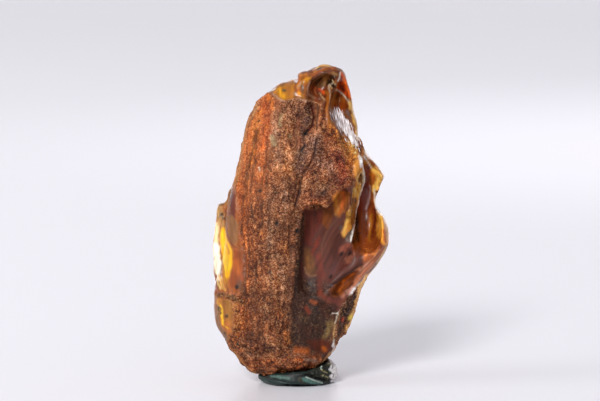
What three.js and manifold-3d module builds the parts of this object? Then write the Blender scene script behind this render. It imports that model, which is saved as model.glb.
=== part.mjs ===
// A piece of raw amber, held upright by a lump of modelling putty pressed under its foot.
//
// Millimetres, +Z up. X runs across the piece's broad face and Y through its thickness,
// with the crusted broad face towards -Y. The origin is on the surface that the putty
// stands on, under the middle of the whole object.
//
// The amber grew as one run of resin and is one solid. Its trunk is lofted ring by ring
// between two edges and two depths. The honey lobes and the pane at its left edge are
// joined on, and the hollows left by chips that broke away are cut out.

import * as THREE from "three";
import { mergeVertices } from "three/addons/utils/BufferGeometryUtils.js";
import Module from "manifold-3d";

const wasm = await Module();
wasm.setup();

// Driving dimensions.
const AMBER_BOTTOM = 1.9;
const AMBER_TOP = 73.6;
const TRUNK_SEGMENTS = 62;
const TRUNK_RINGS = 44;
const LUMP_SEGMENTS = 18;
const LUMP_RINGS = 9;
const PUTTY_LENGTH = 18.4;
const PUTTY_DEPTH = 17.5;
const PUTTY_HEIGHT = 6.4;
const PUTTY_WAIST = 1.5;
const CONTACT_GAP = 0.32;

const AMBER_COLOUR = 0xa5653a;
const PUTTY_COLOUR = 0x4b6660;

// A smooth value along the height, through [height, value] pairs.
function alongHeight(pairs) {
  const heights = pairs.map((pair) => pair[0]);
  const values = pairs.map((pair) => pair[1]);
  const linear = new THREE.LinearInterpolant(heights, values, 1);
  return (height) => linear.evaluate(height)[0];
}

// The trunk's left and right edges, from the foot to the tip.
const leftEdge = alongHeight([
  [1.9, -5], [2.0, -9.6], [3.2, -12.6], [6.8, -15.1], [9.9, -17.4], [13.8, -19.4],
  [18.6, -20], [22.3, -19.7], [25, -18.8], [29, -17.6], [36, -17.3], [41, -16.9],
  [44.2, -16], [47, -15], [53.7, -13.5], [59.8, -12.5], [62.1, -11.3], [64.7, -10],
  [67.2, -7.4], [69, -3.7], [70.6, -0.9], [72.2, 1.2], [73, 3], [73.6, 5.8],
]);
const rightEdge = alongHeight([
  [1.9, -5], [2.3, -1.8], [3.5, 4], [5.5, 6.4], [7.6, 7.9], [10.4, 9],
  [12, 11.1], [15, 12.4], [18.2, 13.3], [20.7, 13.8], [24.8, 15.4], [27.4, 18.1],
  [30.5, 19.9], [33.6, 21.1], [36.2, 20.2], [39.2, 19.1], [41.4, 17.6], [44.9, 18],
  [46.6, 18.8], [48.4, 20.2], [51.1, 17], [54.2, 14.6], [57, 13.5], [61.4, 12.8],
  [65.8, 12], [68.3, 11.3], [71.6, 10.4], [73, 9.4], [73.6, 5.8],
]);

// How far the front and the back stand out from the middle plane.
const frontDepth = alongHeight([
  [1.9, 0], [2.1, 4], [3.2, 6], [6, 8], [10, 9.4], [16, 10.6], [26, 11.6], [40, 11.6],
  [52, 10.6], [60, 9.2], [66, 7.6], [70, 6], [72.6, 4.4], [73.6, 0],
]);
const backDepth = alongHeight([
  [1.9, 0], [2.1, 4], [3.2, 6], [6, 8.4], [10, 10], [16, 11.6], [26, 12.8], [40, 12.4],
  [52, 10.4], [60, 8], [66, 6.2], [70, 4.8], [72.6, 3.8], [73.6, 0],
]);

// The rough column of crust that runs up the front, left of the middle.
const columnCentre = alongHeight([
  [1.9, -5], [10, -6.6], [24, -6.8], [40, -6.6], [54, -5.2], [66, -3.6], [73.6, -2],
]);
const columnHalfWidth = alongHeight([
  [1.9, 5], [10, 6.4], [24, 6.2], [40, 6.8], [54, 6.4], [64, 4.6], [73.6, 2],
]);
const COLUMN_BULGE = 2.2;

// The crusted shield right of the column, above the broken faces.
const SHIELD = { x: 6, z: 53, halfWidth: 7, halfHeight: 12, bulge: 1.4 };

// Rounded ridges left standing between the broken faces, each along a line between two points.
const RIDGES = [
  { from: [21, 32.5], to: [6.5, 19.5], halfWidth: 4.4, height: 1.6 },
  { from: [12.2, 55], to: [14.4, 45.5], halfWidth: 2.8, height: 1.5 },
  { from: [14.4, 45.5], to: [11.4, 33.5], halfWidth: 2.8, height: 1.4 },
];

// A bump that is 1 at its middle and falls to 0 at distance 1.
function bump(distance) {
  return distance >= 1 ? 0 : Math.pow(1 - distance * distance, 2);
}

function ridge(x, z, { from, to, halfWidth, height }) {
  const line = new THREE.Line3(new THREE.Vector3(...from), new THREE.Vector3(...to));
  const here = new THREE.Vector3(x, z, 0);
  const nearest = line.closestPointToPoint(here, true, new THREE.Vector3());
  return height * bump(here.distanceTo(nearest) / halfWidth);
}

function frontRelief(x, z) {
  const column = COLUMN_BULGE * bump(Math.abs(x - columnCentre(z)) / columnHalfWidth(z));
  const reach = Math.hypot((x - SHIELD.x) / SHIELD.halfWidth, (z - SHIELD.z) / SHIELD.halfHeight);
  const ridges = RIDGES.reduce((sum, one) => sum + ridge(x, z, one), 0);
  return column + SHIELD.bulge * bump(reach) + ridges;
}

// Long shallow flutes and swells, as resin leaves when it runs and sets.
function flutes(x, z) {
  return 0.35 * Math.sin(x * 0.9 + z * 0.11) + 0.3 * Math.sin(x * 0.4 - z * 0.23 + 1);
}

function trunkGeometry() {
  const geometry = new THREE.SphereGeometry(1, TRUNK_SEGMENTS, TRUNK_RINGS);
  geometry.rotateX(Math.PI / 2);
  const point = geometry.getAttribute("position");
  const middle = (AMBER_TOP + AMBER_BOTTOM) / 2;
  const half = (AMBER_TOP - AMBER_BOTTOM) / 2;
  const squareness = 0.72;
  for (let i = 0; i < point.count; i += 1) {
    const z = middle + half * point.getZ(i);
    const round = Math.hypot(point.getX(i), point.getY(i));
    const across = round < 1e-6 ? 0 : point.getX(i) / round;
    const through = round < 1e-6 ? 0 : point.getY(i) / round;
    const x = THREE.MathUtils.lerp(leftEdge(z), rightEdge(z), (across + 1) / 2);
    const fullness = Math.pow(Math.abs(through), squareness);
    const swell = Math.min(1, round * 1.5) * fullness * flutes(x, z);
    const front = -(frontDepth(z) + frontRelief(x, z) * round) * fullness - swell;
    const back = backDepth(z) * fullness + swell;
    point.setXYZ(i, x, round < 1e-6 ? 0 : through < 0 ? front : back, z);
  }
  return geometry;
}

// An ellipsoid of half-lengths size, turned about Y by lean, then about Z by turn, in degrees.
function lump({ at, size, lean = 0, turn = 0 }) {
  const geometry = new THREE.SphereGeometry(1, LUMP_SEGMENTS, LUMP_RINGS);
  geometry.scale(...size);
  geometry.rotateY(THREE.MathUtils.degToRad(lean));
  geometry.rotateZ(THREE.MathUtils.degToRad(turn));
  geometry.translate(...at);
  return geometry;
}

// The honey lobes at the top left, which set last and stayed clear.
const LOBES = [
  { at: [-3.6, -1, 65.8], size: [3.7, 6.2, 3.6], lean: -18 },
  { at: [0.9, -1.6, 67.6], size: [3.4, 6, 4.4], lean: 24 },
];

// The two broken faces right of the column. Each is cut back from the front, as far as its
// floor, inside an outline of [x, z] points, and runs out to the outline over its slope.
const BREAKS = {
  upper: {
    floor: -6.4,
    slope: { depth: 3.4, width: 1.5 },
    outline: [
      [0.7, 41.4], [3, 40.7], [5.4, 41], [7.2, 42.2], [8.2, 44], [10.4, 46.4], [11.6, 44],
      [11.5, 39], [10.9, 35], [12.6, 31.6], [11, 28.4], [8.4, 25.6], [6, 22.6], [3.6, 20.8],
      [1, 21.4], [-0.2, 25], [-0.1, 31], [0.4, 37],
    ],
  },
  lower: {
    floor: -6.2,
    slope: { depth: 3, width: 1.7 },
    outline: [
      [-0.8, 20.4], [3.2, 20.2], [6.2, 18.6], [9, 18.4], [8.4, 13], [7.6, 8.4], [4.6, 5.6],
      [0.6, 6.2], [-1.2, 9.6], [-1.3, 15],
    ],
  },
};

function breakGeometry({ floor, slope, outline }) {
  const reach = 30;
  const shape = new THREE.Shape(outline.map(([x, z]) => new THREE.Vector2(x, z)));
  const geometry = new THREE.ExtrudeGeometry(shape, {
    depth: reach,
    bevelEnabled: true,
    bevelThickness: slope.depth,
    bevelSize: slope.width,
    bevelOffset: -slope.width,
    bevelSegments: 3,
  });
  geometry.rotateX(Math.PI / 2);
  geometry.translate(0, floor - slope.depth, 0);
  return geometry;
}

// The hollows left by chips. Each is cut with one ellipsoid.
const HOLLOWS = {
  wingHollow: { at: [15.3, -7.5, 41], size: [3.9, 10.2, 12], lean: 3 },
  hoodScoop: { at: [4.7, -9.8, 67.2], size: [3, 6.2, 5.6], lean: 22 },
  hoodCave: { at: [9.3, -7.6, 65.6], size: [2.3, 8.4, 6], lean: 9 },
  frostFace: { at: [11.6, -11, 57.4], size: [3, 7, 4.6], lean: -24 },
  darkFacet: { at: [3.2, -9.6, 35.6], size: [2.8, 4.8, 7.6], lean: 8 },
  slantFacet: { at: [9.2, -9.6, 32], size: [2.6, 5, 8.6], lean: 26 },
  underLip: { at: [10.6, -11.4, 22.9], size: [4.8, 5.4, 2.6], lean: -38 },
  smokyFace: { at: [3.4, -9.8, 13.4], size: [3.4, 5, 7], lean: -8 },
  edgeChip: { at: [14.4, -9.4, 12.2], size: [5.4, 10, 9.6], lean: 14 },
  backScoopHigh: { at: [6.5, 22.4, 45], size: [15, 12.6, 21], lean: -12 },
  backScoopLow: { at: [-8, 22.6, 22], size: [14, 12, 15], lean: 24 },
  backScoopTip: { at: [0, 14.6, 64], size: [9, 9.2, 10], lean: 20 },
};

// The thin clear pane at the left edge, with its two square broken tops.
const PANE = { thickness: 1.8, bevel: 0.7, y: 1.6 };
const paneOutline = [
  [-19.1, 41.3], [-19.7, 35.2], [-20.1, 30.5], [-20, 27], [-19.6, 22], [-13, 20],
  [-12, 42], [-13.5, 44.4], [-16.5, 44.4], [-17.1, 41.4],
];

function paneGeometry() {
  const shape = new THREE.Shape(paneOutline.map(([x, z]) => new THREE.Vector2(x, z)));
  const geometry = new THREE.ExtrudeGeometry(shape, {
    depth: PANE.thickness,
    bevelEnabled: true,
    bevelThickness: PANE.bevel,
    bevelSize: PANE.bevel,
    bevelOffset: -PANE.bevel,
    bevelSegments: 2,
  });
  geometry.rotateX(Math.PI / 2);
  geometry.translate(0, PANE.y + PANE.thickness, 0);
  return geometry;
}

// A closed geometry as a manifold solid, and back again.
function solidOf(geometry) {
  const bare = geometry.clone();
  bare.deleteAttribute("normal");
  bare.deleteAttribute("uv");
  const merged = mergeVertices(bare, 1e-4);
  return new wasm.Manifold(new wasm.Mesh({
    numProp: 3,
    vertProperties: new Float32Array(merged.getAttribute("position").array),
    triVerts: new Uint32Array(merged.index.array),
  }));
}

function geometryOf(solid) {
  const mesh = solid.getMesh();
  const geometry = new THREE.BufferGeometry();
  geometry.setAttribute("position", new THREE.BufferAttribute(mesh.vertProperties, 3));
  geometry.setIndex(new THREE.BufferAttribute(mesh.triVerts, 1));
  geometry.computeVertexNormals();
  return geometry;
}

function amberSolid() {
  let solid = solidOf(trunkGeometry()).add(solidOf(paneGeometry()));
  for (const lobe of LOBES) {
    solid = solid.add(solidOf(lump(lobe)));
  }
  for (const face of Object.values(BREAKS)) {
    solid = solid.subtract(solidOf(breakGeometry(face)));
  }
  for (const hollow of Object.values(HOLLOWS)) {
    solid = solid.subtract(solidOf(lump(hollow)));
  }
  return solid;
}

// The putty: a flat-bottomed pat, pinched up at its right end, with a dent pressed into it
// by the amber's foot. The dent keeps CONTACT_GAP clear of the amber all round.
const puttyTop = alongHeight([
  [-1, 0.5], [-0.5, 0.74], [0.2, 0.84], [0.5, 0.96], [0.8, 1], [1, 0.86],
]);

function puttyGeometry() {
  const geometry = new THREE.SphereGeometry(1, 34, 16);
  geometry.rotateX(Math.PI / 2);
  const point = geometry.getAttribute("position");
  const centreX = -0.6;
  const flatFrom = 0.5;
  for (let i = 0; i < point.count; i += 1) {
    const [x, y, z] = [point.getX(i), point.getY(i), point.getZ(i)];
    const wobble = 1 + 0.04 * Math.sin(3 * Math.atan2(y, x) + 0.6);
    const rise = PUTTY_HEIGHT * puttyTop(x) - PUTTY_WAIST;
    const above = PUTTY_WAIST + rise * Math.pow(Math.max(z, 0), 0.55);
    const below = PUTTY_WAIST * Math.max(0, 1 + z / flatFrom);
    const across = centreX + (PUTTY_LENGTH / 2) * x * wobble;
    const through = (PUTTY_DEPTH / 2) * y * wobble;
    point.setXYZ(i, across, through, z < 0 ? below : above);
  }
  return geometry;
}

function puttySolid(amber) {
  const shifts = [[0, 0, -1], [1, 0, 0], [-1, 0, 0], [0, 1, 0], [0, -1, 0]];
  let solid = solidOf(puttyGeometry());
  for (const shift of shifts) {
    const moved = geometryOf(amber).translate(...shift.map((s) => s * CONTACT_GAP));
    solid = solid.subtract(solidOf(moved));
  }
  return solid;
}

function part(name, solid, material) {
  const mesh = new THREE.Mesh(geometryOf(solid), material);
  mesh.name = name;
  return mesh;
}

const amber = amberSolid();
const object = new THREE.Group();
object.add(part("amber", amber, new THREE.MeshStandardMaterial({
  color: AMBER_COLOUR, roughness: 0.35, metalness: 0,
})));
object.add(part("putty", puttySolid(amber), new THREE.MeshStandardMaterial({
  color: PUTTY_COLOUR, roughness: 0.45, metalness: 0,
})));

// The origin goes under the middle of the whole object's box.
const middle = new THREE.Box3().setFromObject(object).getCenter(new THREE.Vector3());
object.children.forEach((mesh) => mesh.position.set(-middle.x, -middle.y, 0));

export default object;
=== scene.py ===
"""A piece of raw amber standing on a pinch of green modelling putty.

Metres, +Z up, the crusted broad face towards -Y. Its chips and patches are placed in mm.
"""

import math

import bpy
import numpy as np
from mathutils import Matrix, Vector, noise


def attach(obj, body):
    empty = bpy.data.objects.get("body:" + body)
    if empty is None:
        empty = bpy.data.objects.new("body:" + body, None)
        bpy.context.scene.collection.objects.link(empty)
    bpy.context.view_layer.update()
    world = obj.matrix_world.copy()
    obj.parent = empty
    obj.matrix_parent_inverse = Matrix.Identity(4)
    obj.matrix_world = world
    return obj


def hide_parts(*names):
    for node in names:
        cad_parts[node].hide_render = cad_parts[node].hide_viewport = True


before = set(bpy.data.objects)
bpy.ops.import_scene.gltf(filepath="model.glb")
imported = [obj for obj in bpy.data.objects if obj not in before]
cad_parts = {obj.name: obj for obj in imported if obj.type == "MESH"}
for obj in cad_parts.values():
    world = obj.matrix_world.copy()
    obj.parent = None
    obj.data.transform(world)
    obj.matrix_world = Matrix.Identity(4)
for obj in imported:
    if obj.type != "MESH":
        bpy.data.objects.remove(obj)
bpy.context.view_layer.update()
mm = 0.001


# ------------------------------------------------------------------ the amber's body
# One lump of fossil resin, set in layers inside the bark of a tree and later broken. It starts
# as the plain solid, is remade in small even faces, and its chips are cut out again sharply.


def deselect_all():
    if bpy.context.mode != "OBJECT":
        bpy.ops.object.mode_set(mode="OBJECT")
    bpy.ops.object.select_all(action="DESELECT")


def make_active(obj):
    deselect_all()
    obj.select_set(True)
    bpy.context.view_layer.objects.active = obj


def copy_of(node, name):
    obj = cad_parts[node].copy()
    obj.data = obj.data.copy()
    obj.name = name
    obj.data.name = name
    obj.parent = None
    for key in list(obj.keys()):
        if key.startswith("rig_"):
            del obj[key]
    obj.data.materials.clear()
    bpy.context.scene.collection.objects.link(obj)
    make_active(obj)
    bpy.ops.object.mode_set(mode="EDIT")
    bpy.ops.mesh.select_all(action="SELECT")
    bpy.ops.mesh.remove_doubles(threshold=0.00001)
    bpy.ops.object.mode_set(mode="OBJECT")
    return obj


def remesh(obj, voxel):
    make_active(obj)
    step = obj.modifiers.new("Even faces", "REMESH")
    step.mode = "VOXEL"
    step.voxel_size = voxel
    step.use_smooth_shade = True
    bpy.ops.object.modifier_apply(modifier=step.name)


def relax(obj, factor, repeat, group=""):
    make_active(obj)
    step = obj.modifiers.new("Relax", "SMOOTH")
    step.factor = factor
    step.iterations = repeat
    step.vertex_group = group
    bpy.ops.object.modifier_apply(modifier=step.name)


def chip(obj, centre, size, lean=0, turn=0, join=False):
    """Cuts an ellipsoid out of the object, or joins one to it. Millimetres and degrees."""
    deselect_all()
    bpy.ops.mesh.primitive_ico_sphere_add(subdivisions=5, radius=1)
    cutter = bpy.context.object
    cutter.scale = [s * mm for s in size]
    cutter.rotation_euler = (0, math.radians(lean), math.radians(turn))
    cutter.location = [c * mm for c in centre]
    make_active(obj)
    step = obj.modifiers.new("Chip", "BOOLEAN")
    step.operation = "UNION" if join else "DIFFERENCE"
    step.solver = "EXACT"
    step.object = cutter
    bpy.ops.object.modifier_apply(modifier=step.name)
    bpy.data.objects.remove(cutter)


def ramp(value, low, high):
    t = np.clip((value - low) / (high - low), 0, 1)
    return t * t * (3 - 2 * t)


def away_from(points, path):
    """Distance in mm from each (x, z) point to a path of (x, z) points."""
    nearest = np.full(len(points), 1e9)
    for a, b in zip(path[:-1], path[1:]):
        a = np.array(a, float)
        along = np.array(b, float) - a
        t = np.clip(((points - a) @ along) / (along @ along), 0, 1)
        gap = points - (a + t[:, None] * along)
        nearest = np.minimum(nearest, np.hypot(gap[:, 0], gap[:, 1]))
    return nearest


def within(points, outline):
    """Signed distance in mm from each (x, z) point to a closed outline, positive inside."""
    ring = outline + [outline[0]]
    odd = np.zeros(len(points), bool)
    for (ax, az), (bx, bz) in zip(ring[:-1], ring[1:]):
        crosses = (az > points[:, 1]) != (bz > points[:, 1])
        at = ax + (points[:, 1] - az) * (bx - ax) / (bz - az if bz != az else 1e-9)
        odd ^= crosses & (points[:, 0] < at)
    return np.where(odd, 1, -1) * away_from(points, ring)


def weigh(obj, name, values):
    """Keeps 0 to 1 for each point as a vertex group, for a modifier to follow."""
    group = obj.vertex_groups.new(name=name)
    steps = 32
    levels = np.round(np.clip(values, 0, 1) * steps).astype(int)
    for level in range(1, steps + 1):
        chosen = np.flatnonzero(levels == level)
        if len(chosen):
            group.add(chosen.tolist(), level / steps, "REPLACE")


# The upright line, in mm, that the surface's patches and the camera are centred on.
middle_line = -0.28
amber = copy_of("amber", "amber_body")
# Rounded lobes at the tip, where the resin ran and set.
chip(amber, (-3.8, -2.4, 67.1), (2.7, 3.8, 2.5), join=True)
chip(amber, (0.9, -2.8, 69.8), (2.3, 4.4, 2.7), join=True)
chip(amber, (5.9, -0.2, 71.8), (3.2, 3.2, 1.9), lean=6, join=True)
# The low right part of the front swells out again, and the foot hangs a little over the putty.
chip(amber, (-0.6, -4.6, 15), (7.5, 5.2, 10.4), turn=36, join=True)
chip(amber, (6.4, -4.4, 18.8), (3.2, 3.4, 3.8), join=True)
chip(amber, (5.2, -3.2, 24), (6.4, 5, 8.6), lean=18, join=True)
chip(amber, (-1.6, -2.6, 6.4), (7.6, 7.6, 3.3), lean=-5, join=True)
chip(amber, (15, -6.4, 30), (3.4, 3, 1.7), lean=-35, join=True)
remesh(amber, 0.5 * mm)
relax(amber, 0.5, 6)
# The broken face right of the column has no hard edges of its own.
spots = np.array([v.co for v in amber.data.vertices]) / mm
face = within(spots[:, [0, 2]], [(1.2, 39.4), (8, 42.6), (10.6, 43), (11.4, 38), (12, 32), (17, 30),
                                 (9.6, 18.6), (7, 10), (3, 7), (-2.6, 9), (-2.2, 22), (0.6, 27),
                                 (0.8, 32)])
weigh(amber, "face", ramp(face, -0.3, 1) * ramp(2 - spots[:, 1], 0, 1))
relax(amber, 0.6, 80, "face")

# The right wing: a deep hollow with a thin wall, and a notch in the wall.
chip(amber, (15.3, -8.2, 42.4), (2.6, 10.4, 10.8), lean=4)
chip(amber, (15.6, -7.4, 37), (3, 9.6, 6.2), lean=2)
chip(amber, (19, 1, 42), (1.9, 14, 3.4))
# Grooves between the lobes at the tip.
chip(amber, (-1.5, -2.8, 71), (0.7, 8, 1.5), lean=-20)
chip(amber, (3.3, -1.4, 73.9), (0.8, 8, 1.4), lean=24)
chip(amber, (-7.4, -3, 69.4), (1.3, 8, 2), lean=-44)
# The hood at the tip, and a second shell below it that runs down to the wing.
chip(amber, (4.9, -8.2, 69), (2.8, 6.2, 4), lean=40)
chip(amber, (8.9, -8, 66), (2, 9, 5), lean=16)
chip(amber, (9.9, -7.8, 61), (2.3, 7, 5.8), lean=-24)
# A chip from behind thins the left edge into a window.
chip(amber, (-16.4, 8.6, 30), (2, 8.6, 7.6), lean=-2)
# A tear-shaped gouge above the lip.
chip(amber, (10.4, -11.2, 24), (4.6, 6.2, 1.7), lean=-40)
remesh(amber, 0.33 * mm)
relax(amber, 0.5, 3)


# ------------------------------------------------------------------ the amber's surface
# Where the resin met bark and soil it carries a rough crust. Where it broke it is glossy and
# clear. The crust, its cracks, the paler and darker patches, and the painted highlights, glow
# and shade are laid on point by point.


def noise_at(points, size, seed=0.0, octaves=2):
    """Fractal noise, about -1 to 1, with features of the given size in mm."""
    shift = Vector((seed, seed * 1.7, -seed))
    out = np.empty(len(points))
    for i, p in enumerate(points / size):
        out[i] = noise.fractal(Vector(p) + shift, 0.9, 2.0, octaves)
    return out


def srgb(colour):
    value = np.array(colour, float) / 255
    return np.where(value <= 0.04045, value / 12.92, ((value + 0.055) / 1.055) ** 2.4)


def store(obj, name, values):
    """Keeps one number for each point, for the material to read."""
    layer = obj.data.attributes.new(name, "FLOAT", "POINT")
    layer.data.foreach_set("value", values.astype(np.float32))


# How much the lamps brighten a patch, and the sheen that lies over every colour.
lamp_gain = 1.25
sheen = 0.017


class Skin:
    """The points of one piece, painted and carved in patches as seen from the front, in mm."""

    def __init__(self, obj, colour, middle_line):
        self.obj = obj
        count = len(obj.data.vertices)
        co = np.empty(count * 3)
        normal = np.empty(count * 3)
        obj.data.vertices.foreach_get("co", co)
        obj.data.vertices.foreach_get("normal", normal)
        self.points = co.reshape(-1, 3) / mm
        self.normals = normal.reshape(-1, 3)
        flat = self.points[:, [0, 2]] - (middle_line, 0)
        self.drift = noise_at(self.points, 5, 3.1)
        fray = noise_at(self.points, 1.1, 7.7)
        self.wander = flat + np.stack([0.45 * self.drift + 0.35 * fray,
                                       0.4 * self.drift - 0.3 * fray], 1)
        self.steady = flat + np.stack([0.12 * self.drift + 0.08 * fray,
                                       0.1 * self.drift - 0.08 * fray], 1)
        self.tint = np.tile(self.look(colour), (count, 1))
        self.clear = np.zeros(count)
        self.grain = np.ones(count)
        self.rough = np.full(count, 0.62)
        self.relief = np.zeros(count)

    def look(self, colour):
        """The paint that looks like this sRGB colour under the lights, less its sheen."""
        value = srgb(colour)
        return ((value - np.minimum(sheen, 0.35 * value)) / lamp_gain).clip(0.001, 1)

    def paint(self, shape, colour=None, width=None, soft=0.5, strength=1.0, back=3.0,
              fine=False, clear=None, grain=None, rough=None, lift=0.0):
        """Works one patch. shape is an outline of (x, z) points or, with a width, a path.

        width is to either side of a path, and soft is how far its edge fades. back is the
        furthest y that the patch reaches. fine keeps its edge from fraying. clear, grain and
        rough are from 0 to 1. lift raises the surface, or cuts into it when it is negative.
        """
        where = self.steady if fine else self.wander
        gap = within(where, shape) if width is None else width - away_from(where, shape)
        cover = strength * ramp(gap, -soft, soft) * ramp(back - self.points[:, 1], -0.8, 0.8)
        if colour is not None:
            self.tint += (self.look(colour) - self.tint) * cover[:, None]
        for layer, value in ((self.clear, clear), (self.grain, grain), (self.rough, rough)):
            if value is not None:
                layer += (value - layer) * cover
        self.relief += lift * cover * ramp(-self.normals[:, 1], -0.1, 0.4)

    def line(self, path, colour, width, soft, **more):
        """A crisp thin stroke, such as the edge of a chip."""
        self.paint(path, colour, width, soft, fine=True, **more)

    def glass(self, shape, colour, clear, width=None, soft=0.5, rough=0.12, **more):
        """A broken, see-through patch: smooth, with no crust on it."""
        self.paint(shape, colour, width, soft, clear=clear, grain=0, rough=rough, **more)

    def finish(self):
        data = self.obj.data
        moved = self.points + self.normals * self.relief[:, None]
        data.vertices.foreach_set("co", (moved * mm).ravel())
        data.update()
        for name in ("clear", "grain", "rough"):
            store(self.obj, name, getattr(self, name))
        layer = data.color_attributes.new("tint", "FLOAT_COLOR", "POINT")
        opaque = np.ones((len(self.tint), 1))
        layer.data.foreach_set("color", np.hstack([self.tint, opaque]).ravel())


skin = Skin(amber, (140, 88, 62), middle_line)
x, y, z = skin.points.T
paint = skin.paint
line = skin.line
glass = skin.glass

# The crust's colours: orange at the left, tan down the column, grey beside its cracks, and
# painted shade down the column's right side.
paint([(-15, 40), (-13.8, 48), (-12, 60), (-8, 67), (-4, 66), (-6.8, 54), (-8.6, 44)], (190, 112, 68),
      soft=1.4, grain=0.65)
paint([(-8, 64), (-7.4, 60), (-8.2, 56)], (188, 98, 50), 1.2, 1)
paint([(-9.6, 62), (-10.4, 57), (-11.6, 51)], (188, 112, 56), 0.6, 0.8)
for px, pz, radius in [(-6.5, 64.6, 0.4), (-6.6, 63.4, 0.3), (-7.2, 65.8, 0.5),
                       (-9.2, 62.6, 0.3), (-12.4, 47, 0.3), (-12.8, 44.6, 0.35),
                       (-11.6, 51.6, 0.3), (-7.6, 59.8, 0.35), (-10.4, 53.8, 0.3)]:
    paint([(px, pz), (px + 0.3, pz + 0.5)], (232, 132, 42), radius, 0.4, strength=0.85)
paint([(-5.2, 65.4), (-5.4, 63), (-6.2, 60.6)], (120, 66, 38), 0.3, 0.4, strength=0.7)

paint([(-4.4, 63), (-4, 50), (-5, 38), (-5, 22)], (166, 116, 88), 2.4, 1.8, strength=0.8)
paint([(1.8, 64), (1.4, 58), (0.2, 51), (-0.8, 46)], (92, 64, 54), 1.2, 1.4, strength=0.9)
paint([(-10, 38), (-9.8, 28), (-9.4, 16)], (146, 88, 54), 1.8, 1.6, strength=0.7)
paint([(-13, 46), (-13.2, 30), (-12.6, 14)], (178, 96, 46), 1.3, 1, strength=0.85)
# Painted shade down the column's right side, which faces away from the lamps.
paint([(0.5, 39.4), (0, 36.4), (-0.4, 33), (0, 30)], (62, 36, 28), 0.6, 0.8, strength=0.85)
paint([(-0.2, 29), (-0.9, 20), (-1.2, 9)], (28, 12, 8), 1.1, 0.9, grain=0.6)
paint([(-13, 23), (-6, 22), (-1, 20), (-1, 4), (-12, 2)], (124, 80, 56), soft=3, strength=0.6)
paint([(-9, 45), (-5, 43), (-2, 40), (-3, 30), (-8, 30), (-9.6, 38)], (128, 88, 68), soft=2.4,
      strength=0.5)
paint([(4.4, 58), (8, 60), (11, 54), (12, 48), (9, 45), (6, 43), (1, 42), (1, 48)], (150, 92, 66),
      soft=1.2, strength=0.8)
paint([(3.4, 63.6), (4, 58), (6.6, 60.4), (6.8, 64)], (184, 122, 84), soft=0.7)
paint([(3.6, 57.6), (4.6, 52), (7, 50)], (128, 92, 80), 1.4, 1.2, strength=0.7)
paint([(7, 61), (9.4, 57), (11.2, 53), (12, 50)], (194, 124, 64), 1.0, 0.9)
paint([(8.4, 53), (10.4, 50), (9.4, 47.6)], (128, 56, 34), 1.3, 1.2, strength=0.8)
paint([(0.6, 47.6), (4, 47), (7, 45)], (172, 118, 84), 1.0, 1.2, strength=0.7)
paint([(3, 44.6), (5.4, 44.8), (6.4, 46.4)], (98, 64, 54), 0.8, 0.9, strength=0.7)
paint([(-14, 6), (-6, 7.4), (2, 7), (7, 7.4), (6, 2), (-10, 1)], (136, 80, 48), soft=0.8, strength=0.85)
paint([(-9, 9.4), (-4, 8.8)], (90, 54, 38), 0.9, 0.8, strength=0.7)
paint([(-0.6, 7), (1.2, 6.4), (4, 7.2)], (184, 96, 30), 0.6, 0.7, strength=0.8)
paint([(-3.4, 13), (-2.6, 11)], (186, 118, 56), 0.6, 0.7, strength=0.6)
paint([(-15, 7), (-12, 3.4), (-9.8, 2)], (186, 124, 62), 0.5, 0.5, clear=0.2, grain=0.5)

# The broken face right of the column: dark under the shield, where the resin's deep red-brown
# is darkened further with painted shade, then smooth and red-brown.
glass([(0.8, 41), (4, 40.6), (7, 42), (8.4, 44.4), (11.6, 47), (13.4, 42), (12, 35), (13, 32),
       (22, 33.4), (19.4, 28), (15, 24), (10.4, 19.6), (9, 17), (1, 17), (-0.2, 22), (0.2, 26),
       (-0.2, 28.6), (0.7, 31), (0.2, 34), (1.1, 37)], (94, 56, 44), 0.03)
# The recess under the shield: deep red-brown resin with painted shade under the shield's edge.
glass([(1.3, 40.9), (5.1, 40.7), (5.3, 38.2), (3.8, 35.6), (2.4, 33.4), (1.1, 34)], (98, 44, 28), 0.03,
      soft=0.35)
glass([(1.3, 36.2), (1.6, 34), (2.2, 32.8)], (112, 52, 36), 0.03, 0.4, 0.5)
glass([(3.2, 40.2), (3.4, 38), (2.8, 36.4)], (92, 50, 34), 0.03, 0.4, 0.5, strength=0.6)
glass([(5.2, 41), (7.2, 41.3), (7.5, 38.6), (6.2, 36.2), (5.1, 37.8)], (118, 66, 12), 0.06, soft=0.4)
glass([(6.4, 36.4), (4.6, 34.4), (3.2, 32.6)], (84, 40, 20), 0.03, 0.3, 0.4)
glass([(7.4, 44.2), (9, 45.6), (11.6, 45), (11, 41.6), (9.4, 39.4), (7.6, 39.8)], (160, 92, 28), 0.06,
      soft=0.4)
glass([(8.2, 44), (8, 41.8)], (192, 124, 46), 0.06, 0.35, 0.4)
glass([(10.2, 44.8), (9.8, 42), (8.8, 40.2)], (186, 88, 16), 0.06, 0.35, 0.4)
glass([(8.8, 41.4), (8.2, 39.6)], (172, 116, 56), 0.05, 0.3, 0.4)
glass([(11.4, 44.4), (10.8, 42), (10.2, 40.4)], (140, 82, 40), 0.05, 0.35, 0.35)
for step, colour in enumerate([(156, 110, 76), (92, 56, 44), (140, 88, 62), (84, 52, 42),
                               (150, 96, 66), (98, 60, 48), (134, 88, 68)]):
    glass([(10.6 + 0.3 * step, 41 - 0.5 * step), (6.4 + 0.45 * step, 36.2 - 0.3 * step),
           (5 + 0.42 * step, 32.8), (5 + 0.3 * step, 30)], tuple(0.84 * c for c in colour), 0.03, 0.1,
          0.3, strength=0.35, fine=True)
glass([(4, 34), (3.2, 32), (2.6, 30.4)], (124, 52, 30), 0.03, 0.3, 0.5)
glass([(1.1, 32.4), (0.9, 28.4), (1.6, 26.2), (2.8, 25.3), (3.8, 26.8), (3.1, 29.8), (2.1, 32)],
      (112, 74, 42), 0.05, soft=0.4)
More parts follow.
